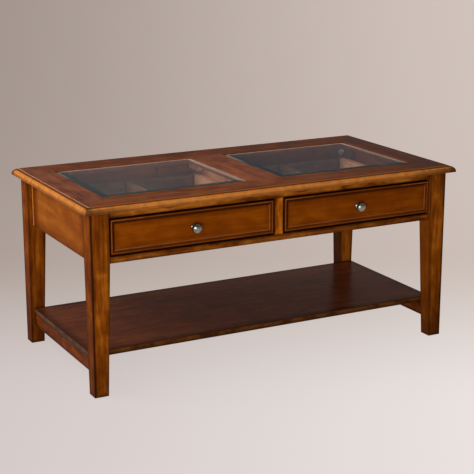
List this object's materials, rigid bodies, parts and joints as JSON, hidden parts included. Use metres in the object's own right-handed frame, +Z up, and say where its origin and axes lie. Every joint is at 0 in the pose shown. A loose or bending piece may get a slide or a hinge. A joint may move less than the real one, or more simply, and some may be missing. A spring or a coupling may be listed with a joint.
{
  "type": "coffee table",
  "caption": "Rectangular display coffee table with a moulded frame top over bevelled glass panes, divided drawers on slides below the glass, tapered square legs and a low shelf",
  "frame": {"origin": "on the floor, in the middle of the table's plan", "axes": "+X along the length towards the table's right end as seen from the front, +Y towards the back, +Z up; the drawers open towards -Y"},
  "size_m": [1.016, 0.508, 0.457],
  "materials": {
    "top_wood": "dark reddish-brown cherry stain with dark glaze near the edges, satin lacquer",
    "frame_wood": "antiqued warm brown cherry stain with dark glaze in the grooves and along the arrises, satin lacquer",
    "inner_wood": "warm brown stained wood inside the drawers and the case, satin lacquer",
    "dowel_wood": "plain turned hardwood",
    "glass": "clear float glass with polished bevels, slightly green at the edges",
    "clear_pad": "soft clear plastic pads",
    "nickel": "brushed nickel with a soft sheen",
    "zinc_steel": "bright zinc-plated steel"
  },
  "bodies": {
    "frame": {"top_front_rail": "top_wood", "top_back_rail": "top_wood", "top_left_end": "top_wood", "top_right_end": "top_wood", "top_middle_rail": "top_wood", "glass_pane_left": "glass", "glass_pane_right": "glass", "glass_pads": "clear_pad", "leg_front_left": "frame_wood", "leg_front_right": "frame_wood", "leg_back_left": "frame_wood", "leg_back_right": "frame_wood", "side_apron_left": "frame_wood", "side_apron_right": "frame_wood", "back_apron": "frame_wood", "front_top_rail": "frame_wood", "front_bottom_rail": "frame_wood", "front_centre_stile": "frame_wood", "centre_partition": "inner_wood", "partition_block": "inner_wood", "corner_block_left": "inner_wood", "corner_block_right": "inner_wood", "slide_batten_left": "inner_wood", "slide_batten_right": "inner_wood", "stretcher_left": "frame_wood", "stretcher_right": "frame_wood", "shelf": "top_wood", "left_bay_left_case_rail": "zinc_steel", "left_bay_right_case_rail": "zinc_steel", "right_bay_left_case_rail": "zinc_steel", "right_bay_right_case_rail": "zinc_steel", "case_slide_screws": "zinc_steel", "top_screws": "zinc_steel", "leg_bolts": "zinc_steel", "frame_dowels": "dowel_wood", "shelf_screws": "zinc_steel"},
    "left_drawer": {"left_drawer_front": "frame_wood", "left_drawer_left_side": "inner_wood", "left_drawer_right_side": "inner_wood", "left_drawer_back": "inner_wood", "left_drawer_bottom": "inner_wood", "left_drawer_divider": "inner_wood", "left_drawer_knob": "nickel", "left_drawer_knob_screw": "zinc_steel", "left_drawer_left_rail": "zinc_steel", "left_drawer_right_rail": "zinc_steel", "left_drawer_slide_screws": "zinc_steel"},
    "right_drawer": {"right_drawer_front": "frame_wood", "right_drawer_left_side": "inner_wood", "right_drawer_right_side": "inner_wood", "right_drawer_back": "inner_wood", "right_drawer_bottom": "inner_wood", "right_drawer_divider": "inner_wood", "right_drawer_knob": "nickel", "right_drawer_knob_screw": "zinc_steel", "right_drawer_left_rail": "zinc_steel", "right_drawer_right_rail": "zinc_steel", "right_drawer_slide_screws": "zinc_steel"},
    "left_cages": {"left_bay_ball_cages": "zinc_steel"},
    "right_cages": {"right_bay_ball_cages": "zinc_steel"}
  },
  "joints": [
    {"name": "left_drawer_slide", "type": "slide", "parent": "frame", "child": "left_drawer", "axis": [0, -1, 0], "range_m": [0, 0.26]},
    {"name": "left_cages_slide", "type": "slide", "parent": "frame", "child": "left_cages", "axis": [0, -1, 0], "range_m": [0, 0.13]},
    {"name": "right_drawer_slide", "type": "slide", "parent": "frame", "child": "right_drawer", "axis": [0, -1, 0], "range_m": [0, 0.26]},
    {"name": "right_cages_slide", "type": "slide", "parent": "frame", "child": "right_cages", "axis": [0, -1, 0], "range_m": [0, 0.13]}
  ],
  "couplings": [
    {"joint": "left_cages_slide", "follows": "left_drawer_slide", "ratio": 0.5},
    {"joint": "right_cages_slide", "follows": "right_drawer_slide", "ratio": 0.5}
  ]
}
